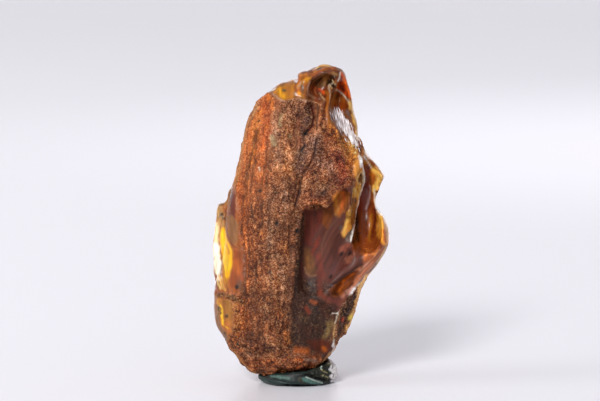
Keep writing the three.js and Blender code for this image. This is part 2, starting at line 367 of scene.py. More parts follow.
glass([(1.8, 29.8), (2, 27.4)], (134, 88, 44), 0.05, 0.3, 0.5)
line([(1, 27.6), (1.4, 26.4), (2.2, 25.6), (3.6, 25.8)], (160, 118, 84), 0.1, 0.22)
glass([(4.4, 30.2), (4.9, 26), (5.1, 22)], (118, 58, 40), 0.03, 0.5, 0.8, rough=0.6)
glass([(5.8, 30.4), (9, 33), (12, 32.6), (14, 30.8), (11.6, 27.6), (8, 24), (6.2, 24.4)], (92, 52, 40),
      0.03, soft=0.7)
glass([(10.8, 32.6), (9, 31)], (146, 80, 64), 0.03, 0.4, 0.5)
glass([(13, 31.4), (10.8, 29.4)], (136, 84, 68), 0.03, 0.5, 0.5)
glass([(8.4, 28.6), (7.4, 26.4)], (94, 60, 56), 0.03, 0.6, 0.6)
glass([(9.6, 37), (10, 34.4)], (96, 80, 70), 0.02, 0.35, 0.4)
for path in ([(7, 31.6), (8, 29.4)], [(9.6, 29.6), (11, 28.4)], [(6.4, 27.4), (7.4, 28.2)],
             [(8.8, 26.8), (9.6, 27.8)], [(11.2, 31.6), (12.2, 30.4)], [(5.4, 28.6), (6, 26.6)]):
    line(path, (72, 42, 38), 0.12, 0.2, strength=0.7)
paint([(0.6, 41), (8.4, 44.4), (11.6, 47), (13, 32), (15, 24), (9, 17), (1, 17), (-0.4, 22)], rough=0.7)
# The smoky low part: dark and dusty, with rust-coloured patches and a clear orange foot.
paint([(-0.4, 25), (3.6, 25.6), (6.4, 24), (7, 21), (8.8, 18.6), (8, 14), (7.4, 8.4), (3, 7.6),
       (-0.8, 8.4), (-0.8, 16)], (76, 44, 30), soft=1.2, clear=0.05, grain=0.45, rough=0.5)
paint([(-0.4, 26), (-1.8, 22.4), (-1.4, 18), (-2, 13.6), (-0.8, 9.6), (1, 12), (1, 24)], (72, 46, 36),
      soft=0.6, strength=0.75, grain=0.6)
paint([(2.2, 23.4), (2.8, 20.8), (3.4, 17)], (70, 58, 54), 1, 1, strength=0.8)
glass([(4.3, 26), (4.3, 24), (4.6, 22.4)], (104, 52, 36), 0.03, 0.6, 0.7, rough=0.7)
glass([(4.6, 22), (5.9, 20.8), (6.6, 20.2)], (120, 60, 32), 0.03, 0.6, 0.6, rough=0.7)
glass([(6.4, 20.4), (8, 20), (9.2, 19.4)], (104, 60, 50), 0.03, 0.6, 0.6, rough=0.6)
paint([(6.4, 18), (8, 17.4), (8.4, 15.8)], (80, 52, 42), 0.8, 0.7, grain=0.4, rough=0.6)
glass([(2.8, 20.2), (3.6, 19.6)], (172, 92, 50), 0.2, 0.4, 0.5)
glass([(1.4, 18.6), (2.2, 17.4)], (140, 66, 34), 0.2, 0.4, 0.6)
paint([(1, 16), (4, 15.4), (6, 14)], (70, 54, 44), 1.2, 1, strength=0.7)
paint([(6.6, 14.6), (6.2, 12), (5.4, 11)], (120, 96, 60), 0.6, 0.6, clear=0.1, grain=0.3)
paint([(4.4, 12), (2, 11), (0.6, 9.6)], (66, 40, 26), 1, 1, grain=0.3)
paint([(-0.6, 9), (1.6, 8.4)], (160, 84, 22), 0.6, 0.7, grain=0.5)
glass([(3.6, 9.6), (5.8, 8.6), (6.4, 7.4)], (84, 34, 4), 0.03, 1, 0.7, rough=0.6)
glass([(5.5, 8.9), (6, 8.2)], (196, 100, 14), 0.03, 0.4, 0.4, rough=0.6)
paint([(2.6, 10.6), (5, 10.2), (6.6, 9)], (90, 38, 8), 0.8, 0.7, grain=0.1)
paint([(1.6, 6.6), (3.4, 6.2)], (130, 100, 88), 0.6, 0.5, grain=0.4)

# The lip, the dark gouge above it and the orange scoop.
glass([(21, 33.6), (19.6, 31.4), (17, 29.4), (14.6, 26.8), (12.4, 24.2), (10.6, 21.4)], (180, 120, 98),
      0.05, 1.1, 0.6)
glass([(10.8, 20.9), (9.9, 19.4), (9, 18)], (124, 72, 58), 0.05, 0.6, 0.5)
glass([(14, 31.4), (18.8, 33), (20.2, 31.4), (17, 29), (14.4, 29)], (176, 98, 52), 0.1)
for step, colour in enumerate([(112, 64, 48), (214, 156, 124), (172, 92, 50), (220, 128, 70),
                               (118, 68, 46), (206, 150, 122), (150, 82, 52)]):
    inset = 0.34 * step - 1
    glass([(20.2 - 0.7 * inset, 32.4 + 0.7 * inset), (17.2 - 0.7 * inset, 29.6 + 0.7 * inset),
           (14.4 - 0.7 * inset, 26.8 + 0.7 * inset), (12 - 0.7 * inset, 23.6 + 0.7 * inset)], colour,
          0.05, 0.12, 0.22, strength=0.6, fine=True)
glass([(16.6, 32), (14.8, 30.6)], (236, 140, 70), 0.1, 0.14, 0.22)
glass([(18.4, 32.2), (16.8, 30.6)], (240, 150, 84), 0.1, 0.14, 0.22)
glass([(6.6, 22.5), (7.6, 21.2), (9.5, 21.2), (12.2, 24.6), (14.3, 28.2), (12.4, 27), (10, 25.2),
       (8, 23.6)], (138, 78, 36), 0.1, soft=0.3)
glass([(9, 22.4), (10, 23.8), (12.4, 26.2)], (206, 108, 42), 0.1, 0.35, 0.4)
glass([(9.9, 24), (9.7, 23.3)], (236, 132, 50), 0.1, 0.22, 0.25)
glass([(11.8, 23.6), (10.3, 21.9)], (104, 56, 30), 0.1, 0.3, 0.4)
glass([(7.4, 21.9), (8.8, 21.4)], (84, 46, 24), 0.05, 0.28, 0.3)
line([(14.2, 28.3), (12, 27), (10, 25.7), (8.4, 24.2), (6.9, 23.6)], (56, 26, 16), 0.22, 0.3, lift=-0.4)
paint([(7, 18), (16, 24), (21, 32), (18, 34), (12, 31), (6, 23)], rough=0.45)
# Painted glow and highlights: a gold line along the lip's upper edge, white lines along its lower edge
# and white glints below it.
glass([(20.4, 33.4), (19.2, 30.8), (17.6, 27.8), (16.1, 25.9)], (246, 186, 98), 0.2, 0.3, 0.3)
line([(15.4, 25.4), (13.8, 23.9), (12.1, 21.9), (11.2, 20.2), (9.8, 18.7)], (240, 232, 226), 0.2, 0.25,
     grain=0, rough=0.2)
line([(12.4, 22.6), (11.4, 20.8)], (250, 246, 250), 0.3, 0.25, grain=0)
line([(9.6, 18.5), (8.6, 17), (8, 14.7)], (222, 206, 182), 0.1, 0.16, grain=0, rough=0.2)
line([(7.9, 14.2), (7.8, 12.4), (7.8, 10.8)], (176, 142, 96), 0.16, 0.25, grain=0, rough=0.2)
line([(7.4, 17), (8.4, 17), (9, 17.6)], (246, 238, 226), 0.09, 0.16)
line([(7.9, 10.6), (7.5, 9.2), (7.9, 8.6), (7.3, 7.2)], (250, 246, 240), 0.2, 0.2, grain=0)
line([(7, 7.4), (5.6, 5.6), (3.4, 4)], (206, 158, 110), 0.2, 0.3, grain=0.4)

# The wing: a gold rim with a white edge of painted highlight, and the hollow and its thin wall
# behind, with painted glow where light shines through the wall.
paint([(10.8, 57.2), (12.2, 54.8), (12.9, 53)], (196, 136, 70), 0.7, 0.5, grain=0.6)
for px, pz in ((13, 54.8), (12.5, 53.8), (12.1, 55.3), (11.4, 56.3)):
    line([(px, pz), (px + 0.2, pz + 0.1)], (252, 226, 160), 0.16, 0.16)
glass([(14.2, 54), (16.4, 52.4), (22, 50), (21, 45), (20, 41.4), (23, 38), (23, 32.6), (18.6, 31.6),
       (15, 31), (12, 32), (12.2, 38), (14.4, 45), (14, 50)], (150, 78, 34), 0.2, soft=0.4, back=20)
glass([(14.5, 53), (15.3, 50.8), (16, 49)], (176, 112, 48), 0.1, 0.6, 0.6)
glass([(15.4, 50), (15.8, 46), (15.4, 41.6), (14.4, 37.6)], (104, 42, 24), 0.05, 0.8, 0.6)
glass([(15, 49), (15.2, 46), (14.6, 42.6), (13.8, 40)], (116, 46, 26), 0.1, 0.7, 0.5)
glass([(16.7, 48), (16.8, 45), (16.6, 42)], (184, 104, 46), 0.2, 0.45, 0.4)
# A painted reflection: a pale lavender streak down the hollow's floor.
glass([(16.2, 45.4), (16.05, 43), (15.2, 40)], (216, 182, 178), 0.03, 0.12, 0.25, fine=True)
glass([(16.4, 50.2), (18, 49.6), (19.8, 48.8), (19.6, 46.8), (18.3, 46), (18.1, 44.6), (17.2, 44.6),
       (17, 46.9), (16.2, 48.6)], (206, 116, 40), 0.05, soft=0.35, back=20)
# Painted glow: the thin flap at the top of the wall is painted pale gold, as if lit through.
glass([(17, 49.6), (18.6, 48.4), (18.2, 46.8), (17.6, 45.4), (17.3, 44.6)], (270, 216, 110), 0.03, 0.6,
      0.4, back=20)
glass([(17.3, 47.6), (17.2, 46.2)], (176, 92, 34), 0.1, 0.25, 0.3)
line([(14.2, 54.4), (16.7, 50.1), (18.8, 48.9)], (170, 116, 60), 0.2, 0.25, back=20, clear=0)
# Painted highlights: white lines along the rim and round the notch.
line([(14.7, 52.8), (16.4, 49.8)], (250, 240, 226), 0.1, 0.16)
line([(17.3, 44.8), (17.2, 42), (17.6, 39.6), (18.2, 38.8), (19, 39.2)], (252, 238, 212), 0.16, 0.2,
     clear=0.05, grain=0, back=20)
glass([(13, 38.6), (12.8, 35.6), (13, 33.2)], (54, 28, 18), 0.1, 0.8, 0.6)
glass([(14.6, 38.8), (14.4, 35), (14.2, 33)], (118, 62, 22), 0.2, 0.7, 0.5)
glass([(16.4, 38.6), (16.3, 35.4), (16, 33)], (178, 112, 34), 0.2, 0.35, 0.4)
glass([(15.4, 38), (15.2, 34)], (88, 40, 16), 0.2, 0.25, 0.3)
glass([(17.2, 40), (17.3, 37), (17, 34)], (108, 46, 20), 0.2, 0.35, 0.4)
# Painted glow: the lower wall is painted bright orange and yellow, as if lit through.
glass([(17.7, 39.4), (18.2, 38.6), (21, 38.8), (22.4, 33), (19, 32), (18, 34)], (255, 168, 66), 0.12,
      soft=0.4, back=20)
glass([(18.4, 38.6), (18.8, 36.4)], (255, 200, 90), 0.15, 0.35, 0.4, back=20)
glass([(20.2, 35.6), (20.8, 33.4)], (246, 170, 70), 0.15, 0.3, 0.4, back=20)
glass([(19.2, 36), (19.4, 33.4)], (214, 104, 28), 0.15, 0.3, 0.3, back=20)
glass([(13, 51.6), (13.4, 47.6), (12.9, 44), (12.2, 40.8), (11.2, 37.6), (10.2, 34.8)], (226, 152, 72),
      0.05, 0.75, 0.35, lift=0.4)
glass([(13.3, 49.5), (14.4, 49.1), (14.8, 46.9), (14, 45.8), (12.9, 46.1), (12.7, 47.6)],
      (255, 214, 140), 0.03, soft=0.15, fine=True)
paint([(13.45, 49.1), (14.2, 48.7), (14.5, 47), (13.9, 46.2), (13.1, 46.5), (13, 47.6)], (112, 72, 30),
      soft=0.15, fine=True, grain=0.5)
glass([(12.1, 45.6), (13.8, 45.7), (14.2, 44.2), (13.2, 42.7), (11.9, 43.3)], (255, 196, 96), 0.05,
      soft=0.3, fine=True)
for path in ([(12.4, 45.2), (12.6, 43.6)], [(13.4, 45.3), (13.7, 44.3), (13.1, 43.2)]):
    line(path, (250, 214, 130), 0.12, 0.16)
line([(12.9, 45), (13.1, 44)], (160, 104, 44), 0.14, 0.2)
glass([(12, 41.4), (11.2, 39.2)], (168, 120, 58), 0.1, 0.3, 0.3)
glass([(12.3, 40.6), (11.8, 38.4), (11.6, 36.6)], (120, 80, 40), 0.05, 0.25, 0.3)
glass([(10.9, 38.8), (10.4, 37.2), (9.9, 34.8)], (238, 184, 90), 0.1, 0.2, 0.25, fine=True)
glass([(11.2, 35.4), (10.7, 33.6)], (108, 96, 86), 0.05, 0.4, 0.4)
line([(12.2, 42.7), (12.3, 42)], (24, 18, 20), 0.34, 0.22)
# Painted highlight: a white line down the rim's edge, and a white spot at its top.
line([(13.8, 52.4), (14.5, 48.8), (14.8, 46.6), (14.2, 44.3), (13.1, 42), (12.9, 39.4), (12.2, 36.6),
      (11.8, 34.8), (11.6, 33.4)], (255, 250, 240), 0.15, 0.16, grain=0, clear=0, lift=0.3)
line([(13.5, 53), (13.75, 50.6)], (255, 255, 255), 0.3, 0.22)

# The tip: honey lobes, the brown hood, its red right wall and the second hollow.
glass([(-8, 67.4), (-6, 66.8), (-4.3, 66), (-0.9, 66.4), (1.7, 65.8), (3.2, 65.2), (4.4, 65.4), (6, 62),
       (8, 60), (10.4, 57), (14, 57), (13, 77), (-12, 77)], (140, 84, 40), 0.12, soft=0.3, back=30,
      rough=0.35)
glass([(-6.4, 67.4), (-4.6, 69.8), (-1, 70.2), (-1, 66.6), (-4, 66.2)], (186, 120, 38), 0.2, back=30,
      soft=0.3)
glass([(-5, 68.2), (-3.8, 66.9)], (240, 170, 34), 0.15, 0.4, 0.6, strength=0.8)
glass([(-2.6, 68.8), (-1.9, 67.4)], (176, 110, 48), 0.2, 0.6, 0.5)
line([(-5.6, 68.6), (-3.2, 69.4), (-1.6, 69.6)], (150, 96, 44), 0.14, 0.2)
line([(-3.8, 68.2), (-3.4, 68.1)], (90, 84, 66), 0.24, 0.22)
glass([(-1, 67), (-1, 70), (0.6, 72.8), (3.4, 73.2), (3, 71), (1.8, 69.6), (1.2, 67.4)], (170, 96, 28),
      0.2, back=30, soft=0.3)
glass([(-0.2, 69.4), (0.8, 70.2), (2.5, 71)], (240, 166, 50), 0.15, 0.22, 0.45, strength=0.85)
glass([(0.2, 71.6), (1.4, 71.9)], (206, 128, 50), 0.15, 0.3, 0.4)
glass([(0.2, 69.4), (0.6, 68)], (130, 86, 54), 0.15, 0.45, 0.5)
glass([(-0.4, 67.6), (0.4, 66.9)], (222, 146, 50), 0.15, 0.35, 0.4)
line([(-1, 66.8), (-0.9, 68.4), (-1, 69.9)], (150, 92, 50), 0.14, 0.2)
line([(0.4, 72.2), (1.6, 72.6), (3, 72.3)], (122, 64, 34), 0.2, 0.25)
line([(-6, 66.9), (-4.3, 66), (-3.3, 65.7), (-0.9, 66.3), (1, 66), (3.3, 65.2), (4.2, 64.6)],
     (196, 148, 118), 0.22, 0.3, lift=0.4)
glass([(7.9, 72.7), (4.4, 71.9), (2.7, 70.9), (1.5, 69.2), (1.3, 67.7), (2.2, 66.5), (3.8, 65.4),
       (6.2, 66), (6.6, 68.8), (8.6, 70.4), (9.1, 72.1)], (104, 56, 26), 0.08, soft=0.3)
glass([(2.9, 70.4), (4.6, 71.4), (5.3, 70.2), (3.7, 68.5), (2.7, 68.7)], (66, 34, 16), 0.08)
glass([(5.7, 71.3), (5.7, 70), (4.9, 68.6)], (120, 82, 38), 0.08, 0.5, 0.5)
glass([(2.9, 70.9), (4.6, 71.9), (7, 72.4)], (102, 68, 52), 0.05, 0.3, 0.3)
glass([(7.6, 71.8), (8.3, 71.3)], (146, 112, 72), 0.08, 0.25, 0.3)
glass([(7.3, 70.9), (6.3, 69.4)], (56, 36, 18), 0.08, 0.5, 0.4)
glass([(3.3, 68.3), (4, 67), (4, 66)], (128, 62, 32), 0.08, 0.7, 0.5)
line([(2.3, 70), (1.8, 68.6), (2.1, 67.2), (3.2, 66.2)], (160, 116, 90), 0.26, 0.3)
for inset in (0.5, 0.95, 1.4, 1.85):
    colour = (150, 98, 56) if inset in (0.5, 1.4) else (62, 32, 16)
    line([(8.2 - inset, 72.4 - 0.5 * inset), (4.5 + 0.4 * inset, 71.7 - inset),
          (2.7 + inset, 70.5 - inset), (1.9 + inset, 68.8 - 0.6 * inset), (2.6 + inset, 66.8),
          (4 + 0.6 * inset, 65.8)], colour, 0.1, 0.2, strength=0.6)
glass([(4.7, 68.1), (5.4, 67.4)], (220, 92, 38), 0.1, 0.3, 0.3)
line([(4.5, 67.3), (5, 66.5), (5.5, 65.8)], (206, 164, 122), 0.12, 0.2)
line([(2.6, 71), (4.4, 72.2), (6, 72.8), (8.2, 73)], (158, 84, 40), 0.2, 0.25, lift=0.4)
paint([(3.4, 72.6), (5.4, 73), (7.4, 73.2)], (176, 112, 68), 0.3, 0.3, grain=0.4)
paint([(3.8, 73.4), (5.4, 73.8), (6.8, 73.5)], (232, 178, 84), 0.36, 0.3, grain=0.2, back=20)
line([(4.2, 72.7), (4.8, 72.8)], (20, 12, 10), 0.26, 0.2)
glass([(9.2, 72.1), (10, 72), (12.6, 66.6), (12.2, 65), (10.1, 66.8), (8.6, 68.1), (8.5, 69.4),
       (9, 70.8)], (204, 82, 30), 0.12, soft=0.25, back=20)
glass([(9.2, 70.6), (9.2, 68.9), (10.1, 67.7)], (114, 40, 18), 0.12, 0.45, 0.4)
glass([(10.1, 71), (10.9, 68.4), (11.6, 66.2)], (232, 112, 40), 0.12, 0.28, 0.3, back=20)
glass([(7, 69), (8.4, 68), (10, 66.7), (11.2, 65.1), (10.8, 62.8), (7.4, 63.4), (6.9, 66)],
      (140, 70, 22), 0.08, soft=0.35)
glass([(7.4, 67.6), (8, 66.2)], (84, 46, 22), 0.08, 0.6, 0.5)
glass([(9.8, 65.5), (8.4, 64.9)], (156, 90, 36), 0.08, 0.6, 0.5)
glass([(6.9, 69.6), (7.7, 68.6)], (20, 14, 10), 0.05, 0.45, 0.3)
for px, pz in ((7.4, 70.2), (8, 69.4), (6.9, 68.9)):
    line([(px, pz), (px + 0.3, pz - 0.5)], (214, 196, 150), 0.08, 0.14)
# Painted highlights: white lines along the hood's right edge and the rims of the second hollow.
line([(9.2, 72), (8.9, 70.8), (8.6, 70.1)], (250, 240, 224), 0.09, 0.16)
line([(8.3, 68), (10, 66.6), (11.1, 65.2), (11.8, 63.4)], (236, 220, 198), 0.12, 0.18)
line([(7.6, 69.6), (6.6, 68.9), (6.75, 66.6), (6.7, 64.5), (7.4, 62.3), (8.6, 60.4)], (198, 172, 144),
     0.1, 0.18)
glass([(6.1, 67.4), (6.2, 65), (6.4, 63)], (168, 96, 36), 0.1, 0.3, 0.3)
glass([(6.6, 65), (7, 62.4), (8.2, 60), (9.6, 58.2)], (150, 92, 58), 0.1, 0.35, 0.4)
line([(7.4, 61.8), (8.6, 59.8), (9.8, 58.2)], (90, 50, 36), 0.26, 0.35, lift=-0.4)
glass([(11.4, 64.8), (12.2, 62.4), (13.2, 58.8), (13.4, 57)], (230, 178, 90), 0.05, 0.45, 0.3, back=20)
line([(3, 64.5), (3.3, 62.7), (2.9, 60.4), (2, 59.3)], (86, 26, 12), 0.28, 0.2, grain=0, lift=-0.7)
for px in (4.0, 4.7):
    paint([(px, 65), (px + 0.2, 61.6), (px - 0.4, 58.8)], (186, 128, 96), 0.2, 0.3, grain=0.5, lift=0.3)
paint([(5.2, 65.2), (5.5, 62.6), (4.7, 60)], (112, 58, 30), 0.24, 0.3, lift=-0.4)
glass([(6, 64.6), (6.2, 62.2), (6.8, 60.6)], (172, 104, 50), 0.1, 0.3, 0.35)
for path in ([(3.9, 57.4), (3.7, 55.6), (3, 53), (1.6, 50.8), (0.9, 49.8)],
             [(0.4, 48.6), (-0.2, 45), (-0.8, 42)], [(4, 64.4), (3.9, 59.4)]):
    line(path, (60, 20, 12), 0.2, 0.2, grain=0, lift=-0.7)

# The left edge: an orange rim, a matte lens, the bright window and the pane behind it, with
# painted glow in the window and a painted highlight on the pane.
paint([(-16.2, 44), (-13.8, 54), (-12.8, 60), (-9.8, 65.4), (-9.6, 64.2), (-12, 59), (-13, 53),
       (-14.6, 45)], (188, 128, 78), clear=0.1, grain=0.5, soft=0.4, back=30, rough=0.6)
glass([(-16.8, 45), (-15, 46.4), (-13.6, 42), (-13.6, 33), (-12.4, 27), (-13, 22), (-17.4, 21),
       (-23, 22), (-23, 44)], (172, 98, 50), 0.3, back=30, rough=0.22)
glass([(-15.6, 43.6), (-15.2, 41), (-15.6, 39.4)], (112, 62, 44), 0.2, 1, 0.5)
for path in ([(-16.6, 42.6), (-16, 40)], [(-14.6, 43.4), (-14.2, 40.4)]):
    line(path, (160, 100, 66), 0.14, 0.2)
paint([(-17.1, 38.8), (-15.6, 39.5), (-14.1, 37.8), (-13.9, 34.4), (-14.6, 32.4), (-15.6, 33),
       (-16.6, 35.6)], (140, 98, 66), soft=0.3, clear=0.05, grain=0.05, rough=0.5)
for path in ([(-15.9, 37.6), (-15.3, 35), (-14.9, 33.4)], [(-15, 38.2), (-14.6, 35.6)]):
    line(path, (128, 88, 60), 0.24, 0.3)
line([(-17.3, 40), (-17, 36.6), (-15.9, 33.2), (-14.8, 32.1)], (110, 72, 46), 0.12, 0.25)
glass([(-15.4, 31.6), (-13.6, 31), (-12.8, 26), (-13.4, 23.4), (-15.4, 23), (-16, 25)], (142, 74, 28),
      0.1, rough=0.6)
glass([(-14.6, 29), (-14.2, 26.6)], (172, 90, 30), 0.1, 0.5, 0.6, rough=0.6)
# Painted glow: the thin window's yellow is painted bright, as if lit through from behind.
glass([(-18.1, 36), (-17.3, 36), (-16.4, 33.2), (-15.6, 31.4), (-15.5, 28), (-16.2, 25.2), (-17, 24),
       (-17.4, 26), (-18.1, 29), (-18.4, 31.4), (-18.5, 34)], (252, 184, 28), 0.1, soft=0.4, back=30,
      fine=True)
glass([(-17.8, 34.6), (-17.4, 33), (-17.6, 31.6)], (255, 204, 50), 0.08, 0.3, 0.5, fine=True)
glass([(-17.1, 29.6), (-16.7, 27.2)], (255, 204, 50), 0.08, 0.5, 0.5, fine=True)
glass([(-17, 32.4), (-16.5, 31.4), (-16.4, 30.6)], (190, 124, 34), 0.1, 0.16, 0.3, fine=True)
glass([(-16.6, 25), (-16.3, 23.4)], (206, 138, 50), 0.2, 0.25, 0.35)
glass([(-18.5, 40.9), (-18.4, 38.4), (-18.5, 36.4)], (184, 138, 88), 0.15, 0.9, 0.35, back=30)
glass([(-18.9, 40.4), (-18.8, 38.8)], (222, 178, 110), 0.15, 0.2, 0.25, back=30)
for px, pz in ((-18.4, 38.9), (-18, 38.2), (-18.7, 38.3)):
    line([(px, pz), (px + 0.15, pz + 0.1)], (120, 112, 106), 0.18, 0.2)
line([(-19.4, 41.2), (-17.2, 41.3)], (122, 86, 52), 0.2, 0.22, back=30)
glass([(-19, 37), (-18.9, 34), (-18.8, 31.8)], (196, 152, 104), 0.12, 0.45, 0.35, back=30)
glass([(-19.4, 36.4), (-19.5, 33.6), (-19.5, 31)], (244, 212, 160), 0.08, 0.55, 0.4, back=30)
# Painted highlight: a white streak down the pane.
glass([(-20, 32), (-19.8, 27), (-19.4, 25)], (255, 244, 210), 0.08, 0.4, 0.35, back=30)
glass([(-19.3, 31.4), (-19, 28.4), (-18.6, 25)], (262, 256, 230), 0.05, 0.66, 0.4, back=30)
for path, colour in (([(-18.9, 24.6), (-18.4, 22.6)], (250, 216, 130)),
                     ([(-18.3, 25.4), (-17.7, 22.8)], (232, 178, 92)),
                     ([(-17.7, 25), (-17, 22.4)], (216, 158, 80))):
    glass(path, colour, 0.12, 0.24, 0.25, back=30)
line([(-18.1, 37.6), (-18.9, 33), (-18.4, 30.4), (-17.5, 27.2), (-16.8, 24.2), (-16.3, 22)],
     (124, 78, 38), 0.12, 0.2, grain=0, strength=0.9)
paint([(-13.6, 24), (-12.8, 21.4)], (98, 76, 62), 0.7, 0.6, strength=0.7)
paint([(-18.9, 20.8), (-17.5, 21.5), (-15.5, 20.9), (-13.2, 19.6)], (134, 98, 62), 0.4, 0.4, clear=0.1,
      grain=1, lift=0.3, back=30)
glass([(-22, 21), (-18, 20.6), (-16, 20), (-14.6, 17), (-15.6, 12.4), (-17.4, 10), (-22, 10)],
      (170, 108, 52), 0.15, soft=0.6, back=30, rough=0.35)
glass([(-17, 19.6), (-15.8, 18.6), (-15.6, 16)], (150, 96, 40), 0.2, 0.5, 0.5)
glass([(-17, 14.6), (-16.2, 12.6)], (196, 112, 44), 0.2, 0.7, 0.7)
glass([(-18.7, 20), (-18.9, 18.6)], (214, 150, 60), 0.2, 0.3, 0.3)
# Painted glow: bright yellow spots where the thin lobe is lit through.
for path, width in (([(-18.3, 18.6), (-17.9, 17.6)], 0.3), ([(-17.9, 17.4), (-18, 16.2)], 0.36),
                    ([(-17.7, 15.6), (-17.4, 14.4)], 0.26), ([(-17, 13.8), (-16.7, 13.6)], 0.14)):
    glass(path, (255, 196, 44), 0.2, width, 0.3)
paint([(-19, 16), (-18.6, 14.4)], (104, 80, 66), 0.35, 0.35, back=20)
glass([(-16.4, 19.4), (-16, 16.4)], (166, 112, 46), 0.3, 0.5, 0.5)
paint([(-19.2, 18), (-18.6, 13.6), (-17, 10.4)], (144, 104, 72), 0.4, 0.4, grain=0.4, back=20)
paint([(-15, 19), (-14, 14), (-15, 10)], (160, 98, 52), 0.8, 0.8, grain=0.9)
for px, pz, radius in [(-18, 38.9, 0.26), (-17.6, 37.9, 0.22), (-14.4, 23.2, 0.42),
                       (-18.5, 17.7, 0.42), (-16.8, 16.3, 0.3), (-18.2, 16.7, 0.22),
                       (-14.3, 9.8, 0.34), (-17.4, 12, 0.2)]:
    line([(px, pz), (px + 0.1, pz + 0.1)], (44, 36, 34), radius, 0.2)
glass([(-18.45, 17.7), (-18.4, 17.75)], (240, 180, 60), 0.2, 0.14, 0.16, fine=True)

paint([(-16.9, 41.4), (-16.4, 44), (-15.2, 48)], (150, 100, 54), 0.45, 0.3, back=30, clear=0, grain=0.2,
      rough=0.55)

# The crusted flake behind, low on the right, with a gold edge that is painted bright, a painted
# glow and highlight.
paint([(9, 18.6), (12, 21.6), (15.4, 25.4), (16, 22), (14, 12), (8.4, 9), (8.4, 14)], (122, 82, 58),
      soft=0.35, back=12, clear=0.05, grain=1, rough=0.6)
paint([(12, 20), (11.4, 17.6), (9.6, 15)], (76, 52, 44), 0.8, 0.8, back=12, strength=0.8)
# Painted glow and highlight: the flake's edge is painted pale gold and near white, brighter than its
# shaded place.
paint([(15.4, 25.4), (13.9, 22), (13, 18), (12.6, 14.6), (11, 12)], (284, 226, 150), 0.75, 0.35, back=20,
      clear=0, grain=0.5)
paint([(11.8, 15.8), (11.9, 14.8)], (255, 214, 96), 0.45, 0.3, back=12, grain=0)
paint([(10.1, 15.5), (10.2, 14.9)], (206, 84, 44), 0.4, 0.3, back=12)
paint([(12.2, 13), (11, 12)], (250, 230, 190), 0.3, 0.3, back=20)

# Black pits and pale chips held in the crust.
for path in ([(1, 58.2), (1.7, 59.3)], [(0.9, 58.8), (1.6, 58.5)], [(0.2, 54.8), (1.1, 56)]):
    line(path, (8, 5, 5), 0.3, 0.18, grain=0, lift=-0.4)
pits = [(-0.7, 36.3, 0.6), (9.3, 30.5, 0.34),
        (6.9, 25.5, 0.34), (12.5, 33.1, 0.42), (11.1, 30.8, 0.3), (-5.4, 38.2, 0.5),
        (-2.6, 17, 0.4), (3, 13, 0.3), (5.6, 13.4, 0.3), (-7, 27, 0.4), (11.4, 17.4, 0.3),
        (-9.6, 61, 0.3), (5, 45, 0.4), (-9.4, 45.4, 0.4), (13.6, 34.4, 0.2), (-11, 12, 0.3)]
for px, pz, radius in pits:
    line([(px, pz), (px + 0.2, pz + 0.3)], (18, 10, 8), radius * 0.75, 0.25, grain=0, lift=-0.2)
for path, width in [([(-4.2, 62.8), (-4.7, 61.2), (-4.5, 60.4)], 0.42),
                    ([(-6.4, 57.6), (-6, 56.4)], 0.75), ([(-2.4, 58.4), (-2.2, 57.8)], 0.35)]:
    line(path, (150, 124, 94), width, 0.3, grain=0.4, lift=-0.3)
line([(-9.4, 50.6), (-9.3, 50)], (250, 226, 206), 0.2, 0.2)
# Furrows down the crust, some of them no wider than a hair.
for path, width, depth, strength in [
    ([(-7.3, 57), (-7.9, 52), (-8.8, 48), (-9.2, 42), (-9, 37)], 0.22, 0.5, 0.8),
    ([(-10, 59), (-12, 50.4), (-12.9, 43), (-12.9, 31), (-12.6, 22), (-12, 12)], 0.3, 0.6, 0.7),
    ([(-9.6, 57), (-10.9, 50), (-11.2, 44), (-10.8, 38)], 0.2, 0.4, 0.8),
    ([(-8, 62.4), (-8.8, 57), (-9.6, 52.4)], 0.14, 0.4, 0.7),
    ([(-6.4, 56), (-7.4, 51), (-8, 46)], 0.14, 0.4, 0.8),
    ([(-12.2, 40), (-11.8, 33), (-12, 26)], 0.16, 0.4, 0.7),
    ([(-3.6, 47), (-3, 41), (-3.8, 35)], 0.3, 0.3, 0.4),
    ([(-1.4, 33), (-2.2, 28), (-2.8, 22), (-2.4, 16)], 0.3, 0.4, 0.6),
    ([(-4.6, 60), (-4.9, 55), (-4.2, 50)], 0.3, 0.3, 0.3),
    ([(-1.2, 62), (-1, 55), (-2, 48), (-1.8, 40), (-2.4, 30)], 0.3, 0.4, 0.4),
    ([(-6.8, 44), (-7.2, 34), (-6.6, 24), (-7.4, 12)], 0.3, 0.4, 0.35),
    ([(-10.8, 30), (-10.2, 20), (-9, 10)], 0.3, 0.4, 0.5),
    ([(0.7, 40), (0.1, 35), (0.5, 31), (-0.6, 26), (-1.6, 21), (-1.2, 16), (-1.8, 11)],
     0.35, 0.3, 0.7),
    ([(-13, 21), (-9, 22.4), (-5, 21.4)], 0.25, 0.4, 0.4),
    ([(-14, 8), (-8, 6.8), (0, 7.4), (6, 7)], 0.3, 0.4, 0.5),
    ([(-11, 24), (-11.4, 18), (-10.8, 12)], 0.2, 0.4, 0.6),
    ([(-9.6, 47), (-9.8, 43.6)], 0.5, 0.4, 0.6),
]:
    paint(path, (62, 30, 20), width, 0.35, lift=-depth, strength=strength, grain=0.4)

# The crust stands in long upright ridges with knots between them, and its colour wanders
# between orange and grey. Where it is broken, the layers it set in show as fine streaks.
ridges = noise_at(skin.points * (1, 1, 0.2), 2.1, 11.0)
knots = noise_at(skin.points, 1.9, 5.5)
patches = noise_at(skin.points * (1, 1, 0.6), 3.4, 21.0)
coarse = ramp(26 - z, 0, 12)
